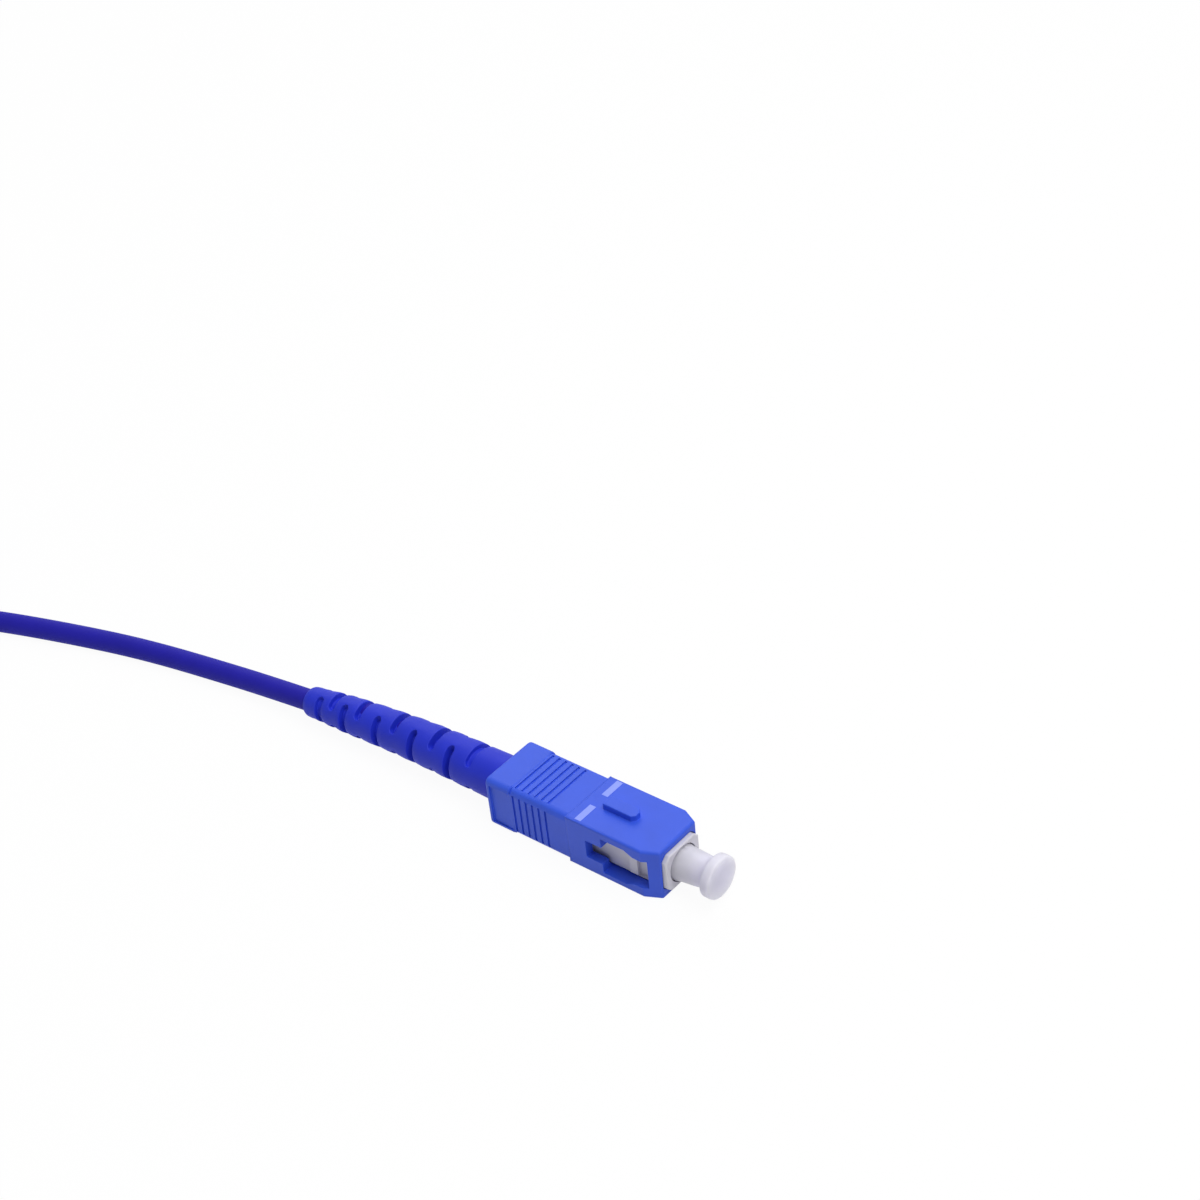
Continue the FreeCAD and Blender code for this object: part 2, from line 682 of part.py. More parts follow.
def cord_path(points):
    """Straight runs joined by tangent arcs, each as large as its two runs allow."""
    corners = [V(*point) for point in points]
    runs = [there - here for here, there in zip(corners, corners[1:])]
    edges, start, radii = [], corners[0], []
    for here, before, after in zip(corners[1:-1], runs, runs[1:]):
        turn = before.getAngle(after)
        reach = 0.45 * min(before.Length, after.Length)
        radii.append(reach / math.tan(turn / 2))
        ahead, back = V(after).normalize(), V(before).normalize()
        first, last = here - back * reach, here + ahead * reach
        inward = (ahead - back).normalize()
        middle = here + inward * (radii[-1] / math.cos(turn / 2) - radii[-1])
        edges += [Part.LineSegment(start, first).toShape(), Part.Arc(first, middle, last).toShape()]
        start = last
    edges.append(Part.LineSegment(start, corners[-1]).toShape())
    print("cord bends, mm:", [round(radius, 1) for radius in radii])
    return Part.Wire(edges)


def cord_tube(name, route):
    """A stretch of cord that is not coiled, as a tube along its route."""
    path = cord_path(route)
    start = V(*route[1]) - V(*route[0])
    profile = Part.Wire(Part.makeCircle(size("cord_radius"), V(*route[0]), start))
    tube = path.makePipeShell([profile], True, False)
    wanted = math.pi * size("cord_radius") ** 2 * path.Length
    assert abs(tube.Volume / wanted - 1) < 0.01, (tube.Volume, wanted)
    print(name, "length, mm:", round(path.Length, 1))
    made = doc.addObject("Part::Feature", name)
    made.Shape = tube
    return made


def cord_coil():
    """The put-away length, as the closed oval ring that its turns fill, two side by side and two high."""
    run, fold, half = size("coil_run") / 2, size("coil_fold_radius"), 2 * size("cord_radius")
    base, bevel = size("tie_thickness"), size("coil_round")
    ends = [V(run, -fold, base), V(-run, -fold, base), V(-run, fold, base), V(run, fold, base)]
    path = Part.Wire([
        Part.LineSegment(ends[0], ends[1]).toShape(),
        Part.Arc(ends[1], V(-run - fold, 0, base), ends[2]).toShape(),
        Part.LineSegment(ends[2], ends[3]).toShape(),
        Part.Arc(ends[3], V(run + fold, 0, base), ends[0]).toShape(),
    ])
    corners = [(-half, bevel), (bevel - half, 0), (half - bevel, 0), (half, bevel), (half, 2 * half - bevel),
               (half - bevel, 2 * half), (bevel - half, 2 * half), (-half, 2 * half - bevel)]
    section = [V(run, -fold + across, base + up) for across, up in corners]
    ring_of_turns = path.makePipeShell([Part.makePolygon(section + section[:1])], True, False)
    wanted = (4 * half * half - 2 * bevel * bevel) * path.Length
    assert abs(ring_of_turns.Volume / wanted - 1) < 0.01, (ring_of_turns.Volume, wanted)
    made = doc.addObject("Part::Feature", "coil_ring")
    made.Shape = ring_of_turns
    return made


def coil_tie():
    """A flat band closed round one side of the coil and the stretch that lies on it."""
    low = "-coil_fold_radius - 2 * cord_radius - tie_gap"
    high = "-coil_fold_radius + 2 * cord_radius + tie_gap"
    x = ("-tie_front - tie_width", "-tie_front")
    top = "6 * cord_radius + tie_thickness + tie_gap"
    outer = block("tie_outer", x, (f"{low} - tie_thickness", f"{high} + tie_thickness"),
                  ("0", f"{top} + tie_thickness"))
    inner = block("tie_inner", ("-tie_front - tie_width - 1", "1 - tie_front"), (low, high),
                  ("tie_thickness", top))
    return cut("tie_band", outer, inner)


def across_pin(name, x, z, radius, width):
    """A round pin along Y, set evenly about the middle."""
    made = doc.addObject("Part::Cylinder", name)
    made.Placement = FreeCAD.Placement(V(0, 0, 0), FreeCAD.Rotation(X_AXIS, -90))
    bind(made, Radius=radius, Height=width, Placement__Base__x=x, Placement__Base__z=z,
         Placement__Base__y=f"-({width}) / 2")
    return made


LATCH_PIN = ("-lc_latch_pivot", "lc_height / 2 + lc_pin_height")
TRIGGER_PIN = ("-lc_trigger_pivot", "lc_body_height / 2 + lc_pin_height")


def lc_housing():
    """The small plug's front housing, with a trough for the root of its latch."""
    body = section_bar("lc_bar", ("-lc_length", "0"), "lc_width", "lc_height")
    softened(body, "Fillet", "lc_edge", along_x)
    length = size("lc_length")
    softened(body, "Chamfer", "lc_edge / 2", lambda m, d: abs(m.x - length) < 1e-3)
    bore = rod("lc_bore", ("-lc_bore_depth", "1"), "lc_bore_radius")
    hole = rod("lc_stop_hole", ("-lc_stop_rear - 1", "-lc_bore_depth + 1"), "lc_stop_hole_radius")
    chamber = rod("lc_chamber", ("-lc_length - 1", "-lc_stop_rear"), "lc_chamber_radius")
    windows = bar("lc_windows", ("-lc_snap_front - lc_snap_length - lc_snap_gap",
                                 "-lc_snap_front + lc_snap_gap"),
                  "2 * lc_width", "lc_snap_width + 2 * lc_snap_gap")
    trough = across_pin("lc_trough", *LATCH_PIN, "lc_latch_pin_radius + lc_hinge_gap", "2 * lc_width")
    return cut("lc_shell", body, bore, hole, chamber, windows, trough, lc_tongue_groove())


def lc_tongue_groove():
    """The groove that frees a small tongue low on each side of the housing."""
    front, rear, groove = "-lc_tongue_front", "-lc_tongue_front - lc_tongue_length", "lc_tongue_groove"
    across, low, high = ("-lc_width", "lc_width"), "-lc_tongue_low", "-lc_tongue_low + lc_tongue_height"
    return joined("lc_groove",
                  block("lc_groove_front", (f"{front} - {groove}", front), across, (low, high)),
                  block("lc_groove_rear", (rear, f"{rear} + {groove}"), across, (low, high)),
                  block("lc_groove_low", (rear, front), across, (low, f"{low} + {groove}")))


def lc_latch():
    """The springy arm that rises towards the cord, with the two ears that lock."""
    low = "lc_height / 2 + lc_hinge_gap"
    slope = "lc_latch_rise / (lc_latch_tail - lc_latch_pivot)"
    arm = padded("lc_arm", "XZ_Plane", [
        ("-lc_latch_front", low), ("-lc_latch_front", f"{low} + lc_latch_thickness"),
        ("-lc_latch_pivot", f"{low} + lc_latch_thickness"),
        ("-lc_latch_tail", f"{low} + lc_latch_thickness + lc_latch_rise"),
        ("-lc_latch_tail", f"{low} + lc_latch_rise"), ("-lc_latch_pivot", low),
    ], "lc_latch_width")
    ears = padded("lc_ears", "XZ_Plane", [
        ("-lc_ear_front", f"{low} + {slope} * (lc_ear_front - lc_latch_pivot)"),
        ("-lc_ear_front", f"{low} + {slope} * (lc_ear_front - lc_latch_pivot) + lc_latch_thickness"),
        ("-lc_ear_rear", f"{low} + {slope} * (lc_ear_rear - lc_latch_pivot) + lc_latch_thickness"
                         " + lc_ear_height"),
        ("-lc_ear_rear", f"{low} + {slope} * (lc_ear_rear - lc_latch_pivot)"),
    ], "lc_ear_width")
    pin = across_pin("lc_latch_pin", *LATCH_PIN, "lc_latch_pin_radius", "lc_latch_width")
    return joined("lc_latch_arm", arm, ears, pin)


def lc_rear_body():
    """The small plug's rear body: a snap nose, a saddle for the trigger and a crimp post."""
    saddle = section_bar("lc_saddle", ("-lc_body_rear", "-lc_saddle_front"), "lc_body_width",
                         "lc_body_height")
    softened(saddle, "Fillet", "lc_edge", along_x)
    neck = section_bar("lc_neck", ("-lc_saddle_front", "-lc_length"), "lc_width", "lc_height")
    softened(neck, "Fillet", "lc_edge", along_x)
    nose = rod("lc_nose", ("-lc_length", "-lc_nose_front"), "lc_nose_radius")
    lugs = bar("lc_lugs", ("-lc_snap_front - lc_snap_length", "-lc_snap_front"),
               "2 * lc_nose_radius + lc_width / 4", "lc_snap_width")
    post = rod("lc_post", ("-lc_post_rear", "-lc_body_rear"), "lc_post_radius")
    bore = rod("lc_rear_bore", ("-lc_post_rear - 1", "-lc_nose_front + 1"), "lc_nose_bore_radius")
    trough = across_pin("lc_saddle_trough", *TRIGGER_PIN, "lc_trigger_pin_radius + lc_hinge_gap",
                        "2 * lc_width")
    return cut("lc_rear", joined("lc_rear_solid", saddle, neck, nose, lugs, post), bore, trough)


def lc_trigger():
    """The clip that presses the latch down: an arm from the saddle over the latch's tail."""
    low = "lc_body_height / 2 + lc_hinge_gap"
    under = "lc_height / 2 + lc_hinge_gap + lc_latch_thickness + lc_latch_rise + lc_trigger_clear"
    arm = padded("lc_trigger_arm", "XZ_Plane", [
        ("-lc_trigger_rear", low), ("-lc_trigger_rear", f"{low} + lc_trigger_thickness"),
        ("-lc_trigger_bend", f"{under} + lc_trigger_thickness"),
        ("-lc_trigger_front", f"{under} + lc_trigger_thickness"), ("-lc_trigger_front", under),
        ("-lc_trigger_bend", under), ("-lc_trigger_pivot", low),
    ], "lc_trigger_width")
    pin = across_pin("lc_trigger_pin", *TRIGGER_PIN, "lc_trigger_pin_radius", "lc_trigger_width")
    opening = bar("lc_trigger_opening", ("-lc_trigger_pivot + lc_trigger_wall", "-lc_trigger_bend"),
                  "lc_trigger_width - 2 * lc_trigger_wall", "4 * lc_height")
    return cut("lc_trigger_clip", joined("lc_trigger_solid", arm, pin), opening)


def lc_boot():
    """The small plug's long tapered boot, with two pairs of fine slits by the cord."""
    liner = "lc_post_radius + crimp_gap + lc_crimp_wall + boot_wall_gap"
    body = turned("lc_boot_body", [
        ("-lc_boot_front", liner), ("-lc_boot_front", "lc_boot_radius"),
        ("-lc_boot_rear + lc_boot_round", "lc_boot_end_radius"),
        ("-lc_boot_rear", "lc_boot_end_radius - lc_boot_round / 2"),
        ("-lc_boot_rear", "cord_radius + boot_wall_gap"), ("-lc_crimp_rear", "cord_radius + boot_wall_gap"),
        ("-lc_crimp_rear", liner),
    ])
    slits = []
    for i in range(4):
        station = (f"-lc_boot_rear + lc_boot_slot_rear + {i // 2} * lc_boot_slot_group"
                   f" + {i % 2} * lc_boot_slot_step")
        x = (f"{station} - lc_boot_slot_width / 2", f"{station} + lc_boot_slot_width / 2")
        wide, narrow = "4 * lc_boot_radius", "2 * cord_radius"
        sides = (wide, narrow) if i % 2 else (narrow, wide)
        slits.append(bar(f"lc_slit_{i}", x, *sides))
    core = rod("lc_slit_core", ("-lc_boot_rear", "-lc_boot_front"), "lc_boot_end_radius - lc_boot_slot_depth")
    return cut("lc_boot_slit", body, cut("lc_slits", joined("lc_slit_bars", *slits), core))


def square_plug():
    node("coupling_sleeve", coupling_sleeve(), **SC_PLACE)
    node("plug_frame", plug_frame(), **SC_PLACE)
    node("ferrule", ferrule("ferrule_body", "ferrule_radius", "ferrule_tip", "ferrule_rear",
                            "ferrule_chamfer"), **SC_PLACE)
    node("ferrule_flange", flange("flange_body", "stop_rear", "ferrule_radius", "ferrule_rear",
                                  "flange_radius", "flange_length", "flange_barrel_radius",
                                  "flange_barrel_rear"), **SC_PLACE)
    node("ferrule_spring", spring("spring_coil", "-stop_nose_front", "-stop_rear - seat_gap - flange_length",
                                  "spring_radius", "spring_wire", "spring_turns"), **SC_PLACE)
    node("spring_stop", spring_stop(), **SC_PLACE)
    node("crimp_sleeve", ring("crimp_ring", ("-crimp_rear", "-crimp_front"), "post_radius + crimp_gap",
                              "post_radius + crimp_gap + crimp_wall"), **SC_PLACE)
    node("inner_tube", ring("inner_tube_ring", ("-crimp_rear", "-tube_front"), "tube_bore_radius",
                            "tube_radius"), **SC_PLACE)
    node("buffered_fibre", core_rod("fibre_rod", ("-crimp_rear", "-ferrule_rear - ferrule_travel - fibre_gap"),
                                "fibre_radius"), **SC_PLACE)
    node("jacket_end", core_rod("jacket_rod", ("-cord_start", "-crimp_rear"), "cord_radius"), **SC_PLACE)
    node("boot", boot(), **SC_PLACE)
    node("dust_cap", dust_cap("cap_body", "cap_inner_end", "cap_neck_radius", "cap_head_radius",
                              "cap_head_rear", "cap_front", "cap_round", "ferrule_radius",
                              "cap_bore_end"), **SC_PLACE)


def cord():
    node("cord_run", cord_tube("cord_run_tube", CORD_ROUTE))
    node("cord_coil", cord_coil(), x="coil_x", y="coil_y")
    node("coil_tie", coil_tie(), x="coil_x + coil_run / 2", y="coil_y")
    node("cord_tail", cord_tube("cord_tail_tube", TAIL_ROUTE))


def small_plug():
    node("lc_housing", lc_housing(), **LC_PLACE)
    node("lc_latch", lc_latch(), **LC_PLACE)
    node("lc_rear_body", lc_rear_body(), **LC_PLACE)
    node("lc_trigger", lc_trigger(), **LC_PLACE)
    node("lc_ferrule", ferrule("lc_ferrule_body", "lc_ferrule_radius", "lc_ferrule_tip", "lc_ferrule_rear",
                               "lc_ferrule_chamfer"), **LC_PLACE)
    node("lc_ferrule_flange", flange("lc_flange_body", "lc_stop_rear", "lc_ferrule_radius",
                                     "lc_ferrule_rear", "lc_flange_radius", "lc_flange_length",
                                     "lc_barrel_radius", "lc_barrel_rear"), **LC_PLACE)
    node("lc_spring", spring("lc_spring_coil", "-lc_nose_front", "-lc_stop_rear - seat_gap - lc_flange_length",
                             "lc_spring_radius", "lc_spring_wire", "lc_spring_turns"), **LC_PLACE)
    node("lc_buffered_fibre", core_rod("lc_fibre_rod",
                                  ("-lc_crimp_rear", "-lc_ferrule_rear - lc_ferrule_travel - fibre_gap"),
                                  "fibre_radius"), **LC_PLACE)
    node("lc_crimp_sleeve", ring("lc_crimp_ring", ("-lc_crimp_rear", "-lc_body_rear - seat_gap"),
                                 "lc_post_radius + crimp_gap",
                                 "lc_post_radius + crimp_gap + lc_crimp_wall"), **LC_PLACE)
    node("lc_jacket_end", core_rod("lc_jacket_rod", ("-lc_boot_rear + lc_tail_depth", "-lc_crimp_rear"),
                                   "cord_radius"), **LC_PLACE)
    node("lc_boot", lc_boot(), **LC_PLACE)
    node("lc_dust_cap", dust_cap("lc_cap_body", "lc_cap_inner_end", "lc_cap_neck_radius",
                                 "lc_cap_head_radius", "lc_cap_head_rear", "lc_cap_front", "lc_cap_round",
                                 "lc_ferrule_radius", "lc_cap_bore_end"), **LC_PLACE)


square_plug()
cord()
small_plug()
doc.recompute()

for thing in doc.Objects:
    assert not {"Invalid", "Error"} & set(thing.State), (thing.Name, thing.State)
for made in nodes:
    assert not made.Shape.isNull() and made.Shape.isValid() and made.Shape.Solids, made.Label

os.makedirs("parts", exist_ok=True)
for made in nodes:
    made.Shape.exportStep(f"parts/{made.Label}.step")
print(len(nodes), "pieces written")
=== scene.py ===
"""A square push-pull fibre plug, its boot and dust cap, and its lead put away behind it."""
import bmesh
import bpy
import json
import math
from mathutils import Matrix, Vector


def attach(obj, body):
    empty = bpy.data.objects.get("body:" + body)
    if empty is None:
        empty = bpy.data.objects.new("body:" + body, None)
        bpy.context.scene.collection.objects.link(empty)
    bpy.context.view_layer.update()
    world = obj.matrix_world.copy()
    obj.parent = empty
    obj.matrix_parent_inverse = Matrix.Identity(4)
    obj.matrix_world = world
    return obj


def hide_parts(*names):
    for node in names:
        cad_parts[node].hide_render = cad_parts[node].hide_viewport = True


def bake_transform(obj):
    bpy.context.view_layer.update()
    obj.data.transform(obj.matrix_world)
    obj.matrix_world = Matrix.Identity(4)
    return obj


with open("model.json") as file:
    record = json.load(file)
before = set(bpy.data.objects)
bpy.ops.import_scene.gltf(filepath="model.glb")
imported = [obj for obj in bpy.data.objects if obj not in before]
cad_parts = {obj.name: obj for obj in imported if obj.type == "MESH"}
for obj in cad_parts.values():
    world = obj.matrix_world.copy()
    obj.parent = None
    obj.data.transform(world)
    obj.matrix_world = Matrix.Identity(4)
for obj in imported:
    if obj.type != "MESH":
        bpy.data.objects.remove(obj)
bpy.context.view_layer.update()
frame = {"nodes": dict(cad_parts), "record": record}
NODES = frame["nodes"]
SLOTS = {piece["node"]: piece["material_slot"] for piece in frame["record"]["subparts"]}
MM = 0.001
PLUG = Vector((28.0, 0.0, 3.695)) * MM
SMALL_PLUG = Vector((-113.0, 0.5, 9.1)) * MM


# ---------------------------------------------------------------- camera

def add_camera():
    """A long lens above and to the right of the plug's tip, turned a little about its own axis."""
    azimuth, elevation, roll = (math.radians(a) for a in (43.140, 41.367, 6.655))
    aim, distance = Vector((16, 0, 3.7)), 275.26
    back = Vector((math.sin(azimuth) * math.cos(elevation), -math.cos(azimuth) * math.cos(elevation),
                   math.sin(elevation)))
    level = Vector((math.cos(azimuth), math.sin(azimuth), 0))
    upright = back.cross(level)
    right = level * math.cos(roll) - upright * math.sin(roll)
    up = level * math.sin(roll) + upright * math.cos(roll)
    turn = Matrix((right, up, back)).transposed().to_4x4()
    place = aim + back * distance
    bpy.ops.object.camera_add()
    camera = bpy.context.object
    camera.matrix_world = Matrix.Translation(place * MM) @ turn
    camera.data.sensor_width = 36
    camera.data.lens = 67.455
    camera.data.shift_y = 0.186
    camera.data.clip_start = 0.01
    camera.data.clip_end = 10
    bpy.context.scene.camera = camera


# ---------------------------------------------------------------- cord

# Sizes and places in mm, along the frame's own axes.
CORD_RADIUS = 1.5
CORD_START = [(-24.0, -0.55, 3.15), (-30.5, -0.97, 2.74), (-38.0, -1.45, 2.26), (-47.0, -2.1, 1.6),
              (-61.6, -4.5, 1.5), (-73.3, -7.6, 1.5), (-86.0, -11.6, 1.5), (-97.0, -16.1, 1.5),
              (-104.5, -19.6, 1.55), (-111.5, -22.6, 1.75), (-119.0, -23.1, 1.9)]
CORD_END = [(-164.0, 0.5, 9.08), (-158.0, 0.5, 9.1), (-152.0, 0.5, 9.1)]
HANK_Y = -10.5
NEAR_FOLD, FAR_FOLD = -116.0, -170.0
# Each turn's distance from the hank's middle line and its height.
CELLS = [(12.5, 1.9), (9.5, 1.9), (9.5, 4.9), (12.5, 4.9), (11.0, 7.6)]
# How far past the near fold a turn reaches, and the angles between which it climbs to the next.
OVER = [(0.0, 0, 90), (0.0, 5, 105), (3.2, 0, 90), (6.2, 25, 125)]
# Where a turn's straight side is held, and how far it strays there.
FAR_SIDE = [(-128, 0.1), (-141, -0.1), (-156, 0.05)]
NEAR_SIDE = [(-156, 0.1), (-141, -0.1), (-128, 0.05)]
FOLD_STEP = 15


def ease(part):
    """Nought to one with a gentle start and end."""
    part = min(max(part, 0), 1)
    return part * part * (3 - 2 * part)


def fold(points, centre, side, leaving, joining, rise=(0, 180)):
    """Half a turn round one end of the hank, from one turn's room to another's."""
    radius = (leaving[0] + joining[0]) / 2 / math.cos(math.radians(FOLD_STEP / 2))
    middle = HANK_Y + side * (leaving[0] - joining[0]) / 2
    climb = joining[1] - leaving[1]
    for angle in range(0, 181, FOLD_STEP):
        a = math.radians(angle)
        points.append((centre + side * radius * math.sin(a), middle + side * radius * math.cos(a),
                       leaving[1] + climb * ease((angle - rise[0]) / (rise[1] - rise[0]))))


def hank_points():
    """Four turns and a half round the two folds; each turn ends by moving over into the next one's room."""
    points = []
    for turn, (radius, height) in enumerate(CELLS):
        points += [(x, HANK_Y - radius + drift, height) for x, drift in FAR_SIDE]
        last = turn == len(CELLS) - 1
        fold(points, FAR_FOLD, -1, (radius, height), (radius, CORD_END[0][2] if last else height))
        if not last:
            points += [(x, HANK_Y + radius + drift, height) for x, drift in NEAR_SIDE]
            reach, begin, end = OVER[turn]
            fold(points, NEAR_FOLD + reach, 1, (radius, height), CELLS[turn + 1], (begin, end))
    return points


def soft_line(name, points, detail, height=0.0):
    """A smooth line from the first point to the last, given in mm, and lifted by that height in metres."""
    line = bpy.data.curves.new(name, "CURVE")
    line.dimensions = "3D"
    spline = line.splines.new("NURBS")
    spline.points.add(len(points) - 1)
    for point, (x, y, z) in zip(spline.points, points):
        point.co = (x * MM, y * MM, z * MM + height, 1)
    spline.order_u = 3
    spline.use_endpoint_u = True
    spline.resolution_u = detail
    thing = bpy.data.objects.new(name, line)
    bpy.context.scene.collection.objects.link(thing)
    return thing


def add_cord(material):
    """The whole lead as one soft line: out of the boot, round the hank and into the small plug's boot."""
    cord = soft_line("cord", CORD_START + hank_points() + CORD_END, 6)
    cord.data.bevel_depth = CORD_RADIUS * MM
    cord.data.bevel_resolution = 6
    cord.data.use_fill_caps = True
    cord.data.materials.append(material)
    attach(cord, "plug_and_cord")
    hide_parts("cord_run", "cord_coil", "cord_tail")
    return cord


# ---------------------------------------------------------------- ways of shaping

WELD = 1e-7
CORNER = math.radians(35)


def pick(thing):
    """Makes this the one thing that is worked on."""
    bpy.ops.object.select_all(action="DESELECT")
    thing.select_set(True)
    bpy.context.view_layer.objects.active = thing


def applied(thing, kind, **settings):
    """Works a shape over in one way, set as told, and keeps the result."""
    pick(thing)
    work = thing.modifiers.new(kind.lower(), kind)
    for setting, value in settings.items():
        setattr(work, setting, value)
    bpy.ops.object.modifier_apply(modifier=work.name)


def named(name):
    """Names the shape just added, puts its place into its mesh and opens it for shaping."""
    thing = bpy.context.object
    thing.name = thing.data.name = name
    bpy.ops.object.transform_apply(location=True, rotation=True, scale=True)
    bpy.ops.object.mode_set(mode="EDIT")
    return thing


def choose(kind, test):
    """Selects just the faces, edges or corners that the test says."""
    bpy.ops.mesh.select_mode(type=kind)
    bpy.ops.mesh.select_all(action="DESELECT")
    mesh = bpy.context.object.data
    shape = bmesh.from_edit_mesh(mesh)
    for part in {"FACE": shape.faces, "EDGE": shape.edges, "VERT": shape.verts}[kind]:
        if test(part):
            part.select_set(True)
    bmesh.update_edit_mesh(mesh)


def shifted(test, x=0.0, z=0.0):
    """Moves the corners that the test says, by so many mm."""
    choose("VERT", test)
    bpy.ops.transform.translate(value=(x * MM, 0, z * MM))


def widened(test, x=1.0, y=1.0, z=1.0, centre=PLUG):
    """Spreads the corners that the test says away from a centre, or draws them in."""
    choose("VERT", test)
    bpy.ops.transform.resize(value=(x, y, z), center_override=centre)


def drawn_out(x=0.0, z=0.0):
    """Draws out what is selected, by so many metres."""
    bpy.ops.mesh.extrude_region_move(TRANSFORM_OT_translate={"value": (x, 0, z)})


def closed_up():
    """Merges what lies together and turns every face outwards."""
    bpy.ops.mesh.select_all(action="SELECT")
    bpy.ops.mesh.remove_doubles(threshold=WELD)
    bpy.ops.mesh.normals_make_consistent(inside=False)


def finished(thing, soften=0.0, steps=2, sharp=40, flat=False, shortest=0, keep=None):
    """Leaves edit mode, softens the edges and smooths the shading; flat keeps broad faces level.

    Edges shorter than that many times the softening stay sharp, and so do those that keep picks.
    """
    if thing.mode == "EDIT":
        bpy.ops.object.mode_set(mode="OBJECT")
    pick(thing)
    if soften:
        bpy.ops.object.mode_set(mode="EDIT")
        choose("EDGE", lambda edge: len(edge.link_faces) == 2 and edge.calc_face_angle() > CORNER
               and edge.calc_length() > shortest * soften * MM and not (keep and keep(edge)))
        bpy.ops.transform.edge_bevelweight(value=1.0)
        bpy.ops.object.mode_set(mode="OBJECT")
        applied(thing, "BEVEL", width=soften * MM, segments=steps, limit_method="WEIGHT",
                use_clamp_overlap=False, miter_outer="MITER_ARC")
    bpy.ops.object.shade_smooth_by_angle(angle=math.radians(sharp))
    if flat:
        applied(thing, "WEIGHTED_NORMAL", keep_sharp=True)


def block(name, size, middle=(0, 0, 0)):
    """A block of that size round its middle, both in mm, open for shaping."""
    bpy.ops.object.select_all(action="DESELECT")
    bpy.ops.mesh.primitive_cube_add(size=1, location=[c * MM for c in middle])
    bpy.context.object.scale = [c * MM for c in size]
    return named(name)


def turned(name, profile, sides=64, tube=False):
    """A round piece along X, drawn out ring by ring through (place, radius) in mm.

    A tube has no ends of its own: its last ring is its first.
    """
    bpy.ops.object.select_all(action="DESELECT")
    x, radius = profile[0]
    bpy.ops.mesh.primitive_circle_add(vertices=sides, radius=radius * MM, location=(x * MM, 0, 0),
                                      rotation=(0, math.pi / 2, 0), fill_type="NOTHING" if tube else "NGON")
    thing = named(name)
    bpy.ops.mesh.select_mode(type="EDGE" if tube else "FACE")
    bpy.ops.mesh.select_all(action="SELECT")
    for place, wide in profile[1:]:
        drawn_out(x=(place - x) * MM)
        bpy.ops.transform.resize(value=(1, wide / radius, wide / radius), center_override=(place * MM, 0, 0))
        x, radius = place, wide
    closed_up()
    return thing


def standing(thing, place):
    """Moves a finished shape to its place and leaves that place in its mesh."""
    pick(thing)
    thing.location = place
    bpy.ops.object.transform_apply(location=True, rotation=True, scale=True)


def copied(node, ending):
    """A node's own shape, its corners joined and its flat faces whole, ready to be worked on."""
    thing = NODES[node].copy()
    thing.data = NODES[node].data.copy()
    thing.parent = None
    thing.matrix_world = Matrix()
    thing.name = thing.data.name = node + ending
    bpy.context.scene.collection.objects.link(thing)
    pick(thing)
    bpy.ops.object.mode_set(mode="EDIT")
    bpy.ops.mesh.select_all(action="SELECT")
    bpy.ops.mesh.remove_doubles(threshold=WELD)
    bpy.ops.mesh.dissolve_limited(angle_limit=math.radians(0.5))
    bpy.ops.object.mode_set(mode="OBJECT")
    bpy.ops.mesh.customdata_custom_splitnormals_clear()
    return thing


def dressed(node, body, soften):
    """A node's own shape with its edges softened as moulding leaves them."""
    thing = copied(node, "_moulded")
    finished(thing, soften, flat=True, shortest=8)
    placed(thing, body, node)


def add_spring(node):
    """A spring between the fixed rear stop and the flange, whose turns close up as the flange moves back."""
    spring = copied(node, "_wound")
    finished(spring, sharp=50)
    placed(spring, None, node)
    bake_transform(spring)


def placed(thing, body, node=None, finish=None):
    """Gives a piece its finish, hides the node that it stands for, and fixes it to a body if given one."""
    finish = finish or SLOTS[node]
    thing.data.materials.clear()
    thing.data.materials.append(MATERIALS[finish])
    if body:
        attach(thing, body)
    if node:
        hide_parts(node)


# ---------------------------------------------------------------- boot

# Distances in mm from the boot's wide end, with the radius there.
BOOT_LENGTH = 38.7
BOOT_SHAPE = [(0.0, 2.68), (2.7, 2.68), (2.9, 3.14), (6.0, 3.14), (16.5, 2.93), (24.9, 2.68), (31.5, 2.5),
              (34.6, 2.3), (37.0, 2.12)]
SIDE_SLOTS = (12.7, 19.1, 25.4, 31.2, 35.7)
TOP_SLOTS = (9.3, 15.7, 22.4, 28.7, 33.4)
SLOT_HALF = 0.53
FIRST_SLOT_FLOOR, SLOT_FLOOR = 2.45, 1.6
RIDGE = 0.05
BOOT_TIP = [(37.7, 2.13), (38.3, 2.06), (38.6, 1.92), (BOOT_LENGTH, 1.72)]
BOOT_BORE = [(BOOT_LENGTH, 1.53), (9.95, 1.53), (9.9, 2.2), (0.0, 2.2)]
BOOT_TURN = -10
BOOT_DROOP = [(5.9, 0, 0), (-8.0, 0, 0), (-22.0, -0.45, -0.43), (-34.6, -1.22, -1.2)]


def boot_radius(along):
    """The boot's outer radius at that distance from its wide end, without slots or ridges."""
    for (x, radius), (next_x, next_radius) in zip(BOOT_SHAPE, BOOT_SHAPE[1:]):
        if along <= next_x:
            return radius + (next_radius - radius) * (along - x) / (next_x - x)
    return BOOT_SHAPE[-1][1]


